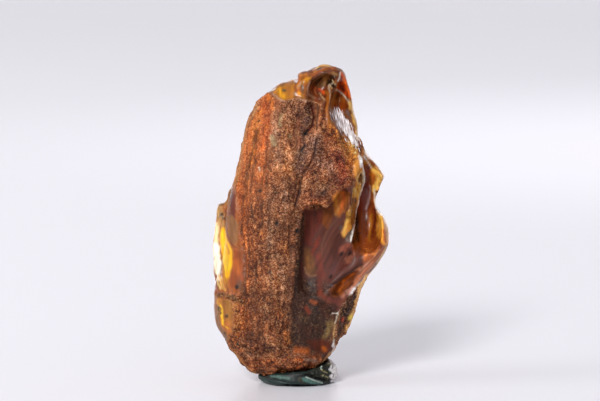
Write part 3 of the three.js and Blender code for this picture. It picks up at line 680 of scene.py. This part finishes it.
# The same noise raises the ridges and knots and paints them lighter, with painted shade in the hollows
# between them, over the crust's own patchy tone.
skin.relief += skin.grain * (0.42 * ridges + (0.14 + 0.22 * coarse) * knots)
shade = 1 + skin.grain * (0.28 * ridges + (0.26 + 0.2 * coarse) * knots + 0.34 * patches)
skin.tint *= shade[:, None].clip(0.3, 1.7) ** (1, 1.3, 1.7)
fine_knots = noise_at(skin.points, 0.75, 41.0, 3)
furrow = noise_at(skin.points * (1, 1, 0.16), 2.4, 51.0, 3)
cracked = skin.grain * ramp(0.15 - abs(furrow), 0, 0.13) * ramp(patches, -0.5, 0.2)
skin.relief -= 0.35 * cracked
skin.tint *= 1 - cracked[:, None] * (0.6, 0.72, 0.75)
pitted = skin.grain * ramp(-fine_knots, 0.15, 0.6)
skin.relief -= 0.16 * pitted
skin.tint *= 1 - 0.5 * pitted[:, None]
# Pale tan grains, mostly on the raised parts: partly the crust's own pale grains, partly painted glints.
sand_and_glints = skin.grain * ramp(fine_knots, 0.2, 0.7) * ramp(patches + ridges, -0.4, 0.7)
skin.tint += (skin.look((206, 152, 98)) - skin.tint) * 0.3 * sand_and_glints[:, None]
warmth = (skin.grain * noise_at(skin.points * (1, 1, 0.5), 2.6, 31.0)).clip(-1, 1)
skin.tint *= 1 + warmth[:, None] * (0.18, -0.02, -0.36)
skin.clear = np.minimum(skin.clear, 0.3)
skin.rough = np.maximum(skin.rough, 0.27)
across = np.stack([0.89 * x - 0.45 * z, 0.3 * y, 0.03 * x + 0.06 * z], 1)
upright = np.stack([x, 0.3 * y, 0.08 * z], 1)
slanted = ramp(within(skin.wander, [(5, 42), (12, 40), (12, 32), (20, 32), (16, 25), (9, 18),
                                    (2, 18), (2, 30)]), -0.5, 1)
streaks = noise_at(across + (upright - across) * (1 - slanted[:, None]), 0.75, 6.2, 3)
front = 1 - ramp(y, 1.5, 3.5)
skin.tint *= (1 + 0.45 * front * (1 - skin.grain) * streaks)[:, None].clip(0.4, 1.6)

# The back is crusted too, but for its edges and two faces where chips came off.
behind = ramp(y, 1.5, 3.5)
back_edge = np.minimum(x + 13.6 + 1.5 * skin.drift, 11 + 1.2 * skin.drift - x)
covered = ramp(back_edge, -0.6, 1) * ramp(64.5 + skin.drift - z, -0.6, 1)
for face in ([(1.4, 38), (5, 33), (10, 36), (12, 45), (10.4, 54), (6, 58), (2.4, 53), (3, 45)],
             [(-13, 19), (-8, 12.6), (-3, 14), (-2, 22), (-5, 29), (-10, 31)]):
    deep = within(skin.wander, face)
    covered *= 1 - ramp(deep, -0.2, 0.3)
    skin.relief -= behind * (0.9 * ramp(deep, -0.2, 1.6) + 0.08 * np.sin(2.6 * deep))
covered = np.maximum(covered, ramp(6.4 + 0.8 * skin.drift - z, -0.4, 0.8))
brown = skin.look((146, 92, 62)) * (1 + 0.25 * patches + 0.2 * ridges)[:, None]
cloud = noise_at(skin.points, 3.2, 71.0, 3)
bare = skin.look((196, 112, 42)) * (1 + 0.6 * cloud)[:, None].clip(0.4, 1.8) ** (1, 1.2, 1.4)
inner = behind * ramp(np.minimum(back_edge, 64 - z), -3, 1)
skin.tint += (bare + (brown - bare) * covered[:, None] - skin.tint) * inner[:, None]
honey = skin.look((206, 132, 52)) * (1 + 0.4 * cloud)[:, None].clip(0.4, 1.6) ** (1, 1.2, 1.5)
sides = np.maximum(0.85 * behind * (1 - inner),
                   0.8 * ramp(skin.normals[:, 0], 0.5, 0.85) * ramp(y, -5, -1))
sides *= ramp(skin.normals[:, 1], -0.5, 0)
skin.tint += (honey - skin.tint) * sides[:, None]
skin.clear += ((1 - covered) * 0.35 - skin.clear) * behind
skin.grain += (covered - skin.grain) * behind
skin.rough += (0.3 + 0.3 * covered - skin.rough) * behind

skin.finish()
# A dry white bloom lies on the broken face below the tip. Here it is kept as a depth in mm
# from the patch's edge, so that the material can fray it into hairs.
frost = within(skin.steady, [(7.1, 63.4), (8.4, 63.9), (9.8, 63), (11.2, 61.2),
                             (12.8, 58.4), (13.5, 56.4), (13.8, 54.4), (13.3, 54.4),
                             (12, 55.4), (10, 57.8), (8.4, 59.8), (7.3, 61.8)])
frost = np.minimum(frost, (3 - y) * 0.5).clip(-2, 2)
store(amber, "frost", frost)
weigh(amber, "crust", skin.grain)
weigh(amber, "smooth", 1 - skin.grain)


def displace(obj, group, size, strength, depth):
    """Pushes the surface in and out by a made-up cloud. Size and strength in mm."""
    make_active(obj)
    cloud = bpy.data.textures.new("cloud", "CLOUDS")
    cloud.noise_scale = size * mm
    cloud.noise_depth = depth
    step = obj.modifiers.new("Displace", "DISPLACE")
    step.texture = cloud
    step.texture_coords = "LOCAL"
    step.strength = strength * mm
    step.mid_level = 0.5
    step.vertex_group = group
    bpy.ops.object.modifier_apply(modifier=step.name)
    bpy.data.textures.remove(cloud)


displace(amber, "crust", 3.2, 0.6, 2)
displace(amber, "crust", 0.8, 0.4, 1)
displace(amber, "smooth", 4.5, 0.5, 0)
bpy.ops.object.shade_smooth()


# ------------------------------------------------------------------ the amber's material
# Clear resin that swallows blue first and then green, so that thin places glow yellow and
# thick ones go deep red-brown. The crust over it is opaque, dry and grainy.


def new_material(obj, name):
    """Puts a new material on a piece. Gives its nodes, links, shader and the piece's own axes."""
    material = bpy.data.materials.new(name)
    material.use_nodes = True
    obj.data.materials.append(material)
    nodes = material.node_tree.nodes
    axes = nodes.new("ShaderNodeTexCoord").outputs["Object"]
    return nodes, material.node_tree.links, nodes["Principled BSDF"], axes


def feed(sockets, values):
    """Gives each socket its number or colour, or joins it to another node's output."""
    for socket, value in zip(sockets, values):
        if hasattr(value, "links"):
            links.new(value, socket)
        elif isinstance(value, tuple):
            socket.default_value = (*value, 1)
        else:
            socket.default_value = value


def attribute(name, output="Fac"):
    node = nodes.new("ShaderNodeAttribute")
    node.attribute_name = name
    return node.outputs[output]


def math_node(operation, a, b):
    node = nodes.new("ShaderNodeMath")
    node.operation = operation
    feed(node.inputs, (a, b))
    return node.outputs[0]


def mix_colours(factor, a, b, blend="MIX"):
    node = nodes.new("ShaderNodeMix")
    node.data_type = "RGBA"
    node.blend_type = blend
    feed((node.inputs[0], node.inputs[6], node.inputs[7]), (factor, a, b))
    return node.outputs[2]


def colour_ramp(factor, stops):
    node = nodes.new("ShaderNodeValToRGB")
    links.new(factor, node.inputs[0])
    while len(node.color_ramp.elements) < len(stops):
        node.color_ramp.elements.new(0.5)
    for element, (place, colour) in zip(node.color_ramp.elements, stops):
        element.position = place
        element.color = (*colour, 1)
    return node.outputs[0]


def noise_node(size, detail=2.0, roughness=0.5):
    node = nodes.new("ShaderNodeTexNoise")
    node.inputs["Scale"].default_value = 1 / (size * mm)
    node.inputs["Detail"].default_value = detail
    node.inputs["Roughness"].default_value = roughness
    links.new(place, node.inputs["Vector"])
    return node.outputs["Fac"]


def dot_product(a, b):
    node = nodes.new("ShaderNodeVectorMath")
    node.operation = "DOT_PRODUCT"
    links.new(a, node.inputs[0])
    node.inputs[1].default_value = b
    return node.outputs["Value"]


def map_range(value, low, high, to_low=0.0, to_high=1.0):
    node = nodes.new("ShaderNodeMapRange")
    node.interpolation_type = "SMOOTHSTEP"
    feed(node.inputs, (value, low, high, to_low, to_high))
    return node.outputs[0]


def bump(height, strength, distance):
    node = nodes.new("ShaderNodeBump")
    node.inputs["Strength"].default_value = strength
    node.inputs["Distance"].default_value = distance * mm
    links.new(height, node.inputs["Height"])
    links.new(node.outputs["Normal"], shader.inputs["Normal"])


nodes, links, shader, place = new_material(amber, "amber")
grains = nodes.new("ShaderNodeTexVoronoi")
grains.inputs["Scale"].default_value = 1 / (0.23 * mm)
links.new(place, grains.inputs["Vector"])
grain_tone = nodes.new("ShaderNodeSeparateColor")
links.new(grains.outputs["Color"], grain_tone.inputs[0])

grain_mask = attribute("grain")
tone = math_node("ADD", math_node("MULTIPLY", grain_tone.outputs[0], 0.7),
                 math_node("MULTIPLY", noise_node(0.8, 3), 0.3))
# Each grain gets its own tone; the palest are pushed towards white, most in blue, as painted glints.
shade = colour_ramp(tone, [
    (0.14, (0.26, 0.13, 0.05)),
    (0.36, (0.62, 0.48, 0.34)),
    (0.58, (0.98, 0.90, 0.80)),
    (0.84, (1.70, 2.05, 2.40)),
])
blotch = colour_ramp(noise_node(4.5, 3), [(0.38, (0.78, 0.68, 0.58)), (0.62, (1.24, 1.24, 1.18))])
mottle = colour_ramp(noise_node(1.4, 2), [(0.4, (0.74, 0.66, 0.58)), (0.6, (1.2, 1.2, 1.14))])
coloured = attribute("tint", "Color")
for pattern in (blotch, mottle, shade):
    coloured = mix_colours(grain_mask, coloured, pattern, "MULTIPLY")
# One grain in six or so is pale: partly the crust's own pale grains, partly painted glints
# where grains catch the light.
cluster = map_range(noise_node(1.5, 3), 0.42, 0.6, 0.25, 1)
sand_and_glints = math_node("MULTIPLY", map_range(tone, 0.60, 0.82, 0, 0.3), grain_mask)
coloured = mix_colours(math_node("MULTIPLY", sand_and_glints, cluster), coloured, (0.42, 0.25, 0.12))

# The bloom frays into fine upright hairs.
slope = dot_product(place, (0.96, 0, 0.28))
rise = dot_product(place, (-0.28, 0, 0.96))
hair_place = nodes.new("ShaderNodeCombineXYZ")
links.new(math_node("MULTIPLY", slope, 1 / (0.24 * mm)), hair_place.inputs[0])
links.new(math_node("MULTIPLY", rise, 1 / (1.8 * mm)), hair_place.inputs[2])
hair = nodes.new("ShaderNodeTexNoise")
hair.inputs["Scale"].default_value = 1
hair.inputs["Detail"].default_value = 2
links.new(hair_place.outputs[0], hair.inputs["Vector"])
depth = math_node("ADD", attribute("frost"),
                  math_node("MULTIPLY", math_node("SUBTRACT", hair.outputs["Fac"], 0.56), 4.0))
frosted = map_range(depth, -0.12, 0.3)
frost_colour = colour_ramp(hair.outputs["Fac"], [(0.38, (0.30, 0.24, 0.23)),
                                                  (0.5, (0.46, 0.42, 0.42)),
                                                  (0.62, (0.92, 0.88, 0.90))])
coloured = mix_colours(frosted, coloured, frost_colour)
links.new(coloured, shader.inputs["Base Color"])
bare = math_node("SUBTRACT", 1.0, frosted)
links.new(math_node("MULTIPLY", attribute("clear"), bare), shader.inputs["Transmission Weight"])
links.new(math_node("MAXIMUM", attribute("rough"), math_node("MULTIPLY", frosted, 0.7)),
          shader.inputs["Roughness"])
shader.inputs["IOR"].default_value = 1.54
shader.inputs["Specular IOR Level"].default_value = 0.18

height = math_node("ADD", math_node("MULTIPLY", grains.outputs["Distance"], -0.5),
                   noise_node(0.45, 3))
bump(math_node("MULTIPLY", height, grain_mask), 0.7, 0.2)

absorb = nodes.new("ShaderNodeVolumeAbsorption")
absorb.inputs["Color"].default_value = (0.95, 0.82, 0.1, 1)
absorb.inputs["Density"].default_value = 380
links.new(absorb.outputs["Volume"], nodes["Material Output"].inputs["Volume"])

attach(amber, "root")
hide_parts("amber")


# ------------------------------------------------------------------ what is sealed in the amber
# Crumbs of bark and soil that the resin caught while it was still running. They lie just
# under its clear faces.

crumbs = []
for px, pz, size in [(-18.3, 38.8, 0.3), (-17.9, 37.8, 0.24), (-17.2, 31.6, 0.3),
                     (-16.6, 29.6, 0.22), (-14.6, 23.2, 0.45), (-18.6, 17.6, 0.4),
                     (-17, 16.2, 0.35), (-16.2, 18.6, 0.25), (12.2, 33.4, 0.4), (13, 34.8, 0.3),
                     (15.6, 34.6, 0.25), (3, 38, 0.3), (2.4, 28, 0.3), (9.4, 64.6, 0.3),
                     (-2.2, 68, 0.25), (1, 70.6, 0.25)]:
    start = Vector((px * mm, -0.05, pz * mm))
    hit, touch, facing, _ = amber.ray_cast(start, Vector((0, 1, 0)))
    if not hit:
        continue
    deselect_all()
    bpy.ops.mesh.primitive_ico_sphere_add(subdivisions=2, radius=size * mm)
    crumb = bpy.context.object
    crumb.location = touch - facing * (size + 0.25) * mm
    crumb.scale = (1, 0.7, 0.6 + 0.5 * abs(math.sin(7 * px)))
    crumb.rotation_euler = (0, px, pz)
    crumbs.append(crumb)
deselect_all()
for crumb in crumbs:
    crumb.select_set(True)
specks = crumbs[0]
bpy.context.view_layer.objects.active = specks
bpy.ops.object.join()
specks.name = "specks"
bpy.ops.object.transform_apply(location=True, rotation=True, scale=True)
bpy.ops.object.shade_smooth()

nodes, links, shader, place = new_material(specks, "specks")
links.new(colour_ramp(noise_node(0.2, 3), [(0.35, (0.006, 0.004, 0.003)),
                                           (0.7, (0.07, 0.04, 0.02))]),
          shader.inputs["Base Color"])
shader.inputs["Roughness"].default_value = 0.7
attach(specks, "root")


# ------------------------------------------------------------------ the putty
# A pinch of green modelling putty, rolled soft between the fingers. It is pressed under the
# amber's foot by hand, which leaves a dent, a thumbed fold and a torn end.

putty = copy_of("putty", "putty_pinch")
chip(putty, (-1.6, -2.6, 6.4), (8.2, 8.2, 3.9), lean=-5)
chip(putty, (-1, -9.4, -0.7), (13, 4.4, 1.5))
remesh(putty, 0.22 * mm)
relax(putty, 0.5, 3)
lump = Skin(putty, (54, 80, 74), middle_line)
lump.tint *= 0.27
lump.grain[:] = 0.1
lump.rough[:] = 0.5
z = lump.points[:, 2]
smear = noise_at(lump.points * (0.35, 0.6, 1.6) + lump.points[:, [2]] * (0.5, 0, 0), 1.5, 2.2)
lump.tint *= (1 + 0.35 * smear)[:, None].clip(0.3, 1.6)
lump.relief += 0.2 * smear * ramp(z, 0.1, 0.8)
# A thumbed fold runs down to the table, with painted shade in its crease and a painted highlight
# on its ridge. Right of it the pinched end is dark and torn, with small painted glints, and its
# last rim is painted white, a painted highlight where light strikes it.
lump.paint([(-9.6, 2.7), (-6.4, 2.7), (-6.6, 1.7), (-8.4, 1.2)], (26, 24, 18), soft=0.4, back=20,
           strength=0.85)
lump.paint([(-10.2, 1.8), (-9.4, 0.9), (-8, 0.6)], (52, 90, 80), 0.4, 0.4)
# Painted shade in the fold's crease.
lump.paint([(-6.8, 2), (-4.6, 1.2), (-3, 0.7)], (24, 32, 28), 0.16, 0.25, lift=-0.4)
lump.paint([(-6.6, 2.4), (-3.4, 2.2), (-2.4, 2)], (104, 134, 124), 0.22, 0.35)
lump.paint([(-2.4, 2.8), (0.4, 2.6), (2.4, 2)], (14, 16, 12), 0.36, 0.35)
lump.paint([(-9, 1.4), (-5, 0.8), (0, 0.6)], (38, 64, 60), 0.5, 0.5)
lump.paint([(0, 1.9), (0.6, 1.4)], (66, 62, 44), 0.4, 0.4)
lump.paint([(1.2, 3.2), (2.6, 2.4), (4, 1.6), (5.4, 0.9), (7, 0.5), (8, 0.3), (10, 0.4), (10, 8), (4, 8),
            (3, 4)], (40, 44, 30), soft=0.3, back=20, grain=1, rough=0.5)
# Painted highlight along the twisted ridge, with painted shade in the crease above it.
lump.line([(1.4, 2.4), (3.2, 1.6), (5, 0.8)], (196, 216, 204), 0.14, 0.22, lift=0.5, grain=0)
lump.paint([(0.8, 1.8), (3, 1.1), (4.6, 0.6)], (92, 132, 122), 0.3, 0.3)
lump.line([(1.4, 3), (3.4, 2.2), (5.2, 1.5), (6.8, 0.9)], (8, 9, 6), 0.3, 0.3, lift=-0.6)
# Painted glints on the torn end.
for px, pz in ((4.4, 4.6), (5.4, 3.4), (5.9, 2.2), (4.8, 3.8), (6.2, 4.6), (5, 2.6), (6.4, 1.2)):
    lump.paint([(px, pz), (px + 0.5, pz - 0.2)], (188, 180, 130), 0.1, 0.18, strength=0.85)
lump.paint([(4.7, 4.7), (5.1, 4)], (214, 236, 226), 0.2, 0.25)
lump.paint([(6, 5.8), (6.8, 6.2)], (220, 238, 230), 0.24, 0.25, back=20)
# Painted highlight: the torn end's right face is painted white.
lump.paint([(6.2, 6.6), (10, 6.4), (10, 0), (6.9, 0), (7.3, 1.2), (6.7, 2), (7.2, 2.8), (6.6, 3.6),
            (7.1, 4.4), (6.6, 5.2)], (255, 255, 255), soft=0.15, back=2, grain=0, fine=True)
for path in ([(7.1, 4.6), (7.5, 4.2), (7.4, 3.6)], [(6.9, 2.6), (7.6, 2.3), (7.5, 1.7)],
             [(7.2, 1), (7.8, 0.8)]):
    lump.line(path, (40, 52, 40), 0.09, 0.14, back=20)
lump.paint([(6.4, 5.8), (7.8, 5.5), (8.6, 4.4), (8.8, 3)], (150, 196, 180), 0.12, 0.2, back=20,
           strength=0.7)
lump.tint[:] = (lump.tint * (0.84, 0.8, 0.8)).clip(0, 0.9)
crumbly = noise_at(lump.points, 0.5, 9.1)
lump.relief += lump.grain * 0.3 * crumbly * ramp(z, 0.1, 0.8)
lump.tint *= (1 + 1.3 * lump.grain * crumbly)[:, None].clip(0.2, 3)
lump.finish()
bpy.ops.object.shade_smooth()

nodes, links, shader, place = new_material(putty, "putty")
mottle = colour_ramp(noise_node(0.7, 4, 0.6), [(0.3, (0.6, 0.64, 0.62)), (0.7, (1.3, 1.26, 1.26))])
links.new(mix_colours(1.0, attribute("tint", "Color"), mottle, "MULTIPLY"),
          shader.inputs["Base Color"])
links.new(attribute("rough"), shader.inputs["Roughness"])
shader.inputs["Specular IOR Level"].default_value = 0.3
bump(noise_node(0.35, 3), 0.4, 0.1)
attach(putty, "root")
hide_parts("putty")


# ------------------------------------------------------------------ the table and backdrop
# One pale sheet of satin paper. It lies flat under the piece and far behind it, then sweeps
# up, so that no edge shows between the table and the wall.

deselect_all()
bpy.ops.mesh.primitive_grid_add(x_subdivisions=8, y_subdivisions=80, size=1)
sweep = bpy.context.object
sweep.name = "backdrop"
length, width, near_edge = 5.6, 5, -2.4
flat_to, radius = 1.9, 0.5
for vertex in sweep.data.vertices:
    run = (vertex.co.y + 0.5) * length + near_edge
    bend = max(0, run - flat_to)
    turn = min(bend / radius, math.pi / 2)
    rise = radius * (1 - math.cos(turn)) + max(0, bend - radius * math.pi / 2)
    out = min(run, flat_to) + radius * math.sin(turn)
    vertex.co = (vertex.co.x * width, out, rise)
bpy.ops.object.shade_smooth()

# The sheet carries a painted pool of light, a little brighter beside the piece, and painted
# shade that darkens it far behind it.
nodes, links, shader, place = new_material(sweep, "backdrop")
far = map_range(dot_product(place, (0, 1, 0)), 0.35, 1.3, 1.02, 0.82)
offset = nodes.new("ShaderNodeVectorMath")
offset.operation = "DISTANCE"
links.new(place, offset.inputs[0])
offset.inputs[1].default_value = (0.17, 0.6, 0)
painted_light_pool = map_range(offset.outputs["Value"], 0.02, 0.34, 1.26, 1.0)
tone = math_node("MULTIPLY", math_node("MULTIPLY", far, painted_light_pool), 0.768)
sheet_colour = nodes.new("ShaderNodeCombineColor")
for socket, share in zip(sheet_colour.inputs, (1.0, 0.985, 1.03)):
    links.new(math_node("MULTIPLY", tone, share), socket)
links.new(sheet_colour.outputs[0], shader.inputs["Base Color"])
shader.inputs["Roughness"].default_value = 0.36
shader.inputs["Specular IOR Level"].default_value = 0.7


# ------------------------------------------------------------------ light and camera
# A soft lamp high in front, a weaker one at the left, in a bright white room. Small cards
# close behind the piece light up its clear edges.

world = bpy.data.worlds.new("room")
bpy.context.scene.world = world
world.use_nodes = True
room = world.node_tree.nodes["Background"]
room.inputs["Color"].default_value = (0.95, 0.94, 1, 1)
room.inputs["Strength"].default_value = 0.53


def soft_light(name, position, target, size, power):
    data = bpy.data.lights.new(name, "AREA")
    data.shape = "RECTANGLE"
    data.size, data.size_y = size
    data.energy = power
    light = bpy.data.objects.new(name, data)
    light.location = position
    direction = Vector(target) - Vector(position)
    light.rotation_euler = direction.to_track_quat("-Z", "Y").to_euler()
    bpy.context.scene.collection.objects.link(light)
    return light


middle = (0, 0, 0.036)
lamp = bpy.data.lights.new("front", "SUN")
lamp.energy = 3.1
lamp.angle = math.radians(15)
front_light = bpy.data.objects.new("front", lamp)
front_light.rotation_euler = Vector((0.42, 1.45, -0.78)).to_track_quat("-Z", "Y").to_euler()
bpy.context.scene.collection.objects.link(front_light)
soft_light("left", (-1.1, -0.3, 0.5), middle, (0.5, 0.5), 5)

amber_only = bpy.data.collections.new("lit by cards")
amber_only.objects.link(amber)


def card(name, position, target, size, brightness):
    """A small glowing card close behind the piece, which only lights the clear resin."""
    power = brightness * math.pi * size[0] * size[1]
    light = soft_light(name, position, target, size, power)
    light.visible_camera = False
    light.light_linking.receiver_collection = amber_only
    return light


card("card_left", (-0.03, 0.09, 0.03), (-0.017, 0, 0.029), (0.035, 0.05), 2.6)
card("card_top", (-0.005, 0.09, 0.085), (0, 0, 0.068), (0.04, 0.03), 0.8)
card("card_right", (0.035, 0.09, 0.045), (0.017, 0, 0.042), (0.035, 0.05), 1.4)

data = bpy.data.cameras.new("camera")
camera = bpy.data.objects.new("camera", data)
bpy.context.scene.collection.objects.link(camera)
bpy.context.scene.camera = camera
elevation = math.radians(6)
reach = 1.1
frame_wide = 138 * mm
aim = Vector((middle_line * mm, 0, 0.0422))
camera.location = aim + reach * Vector((0, -math.cos(elevation), math.sin(elevation)))
camera.rotation_euler = (math.pi / 2 - elevation, 0, 0)
data.sensor_width = 36
data.lens = data.sensor_width * reach / frame_wide
data.clip_start = 0.01
bpy.context.scene.view_settings.view_transform = "Standard"
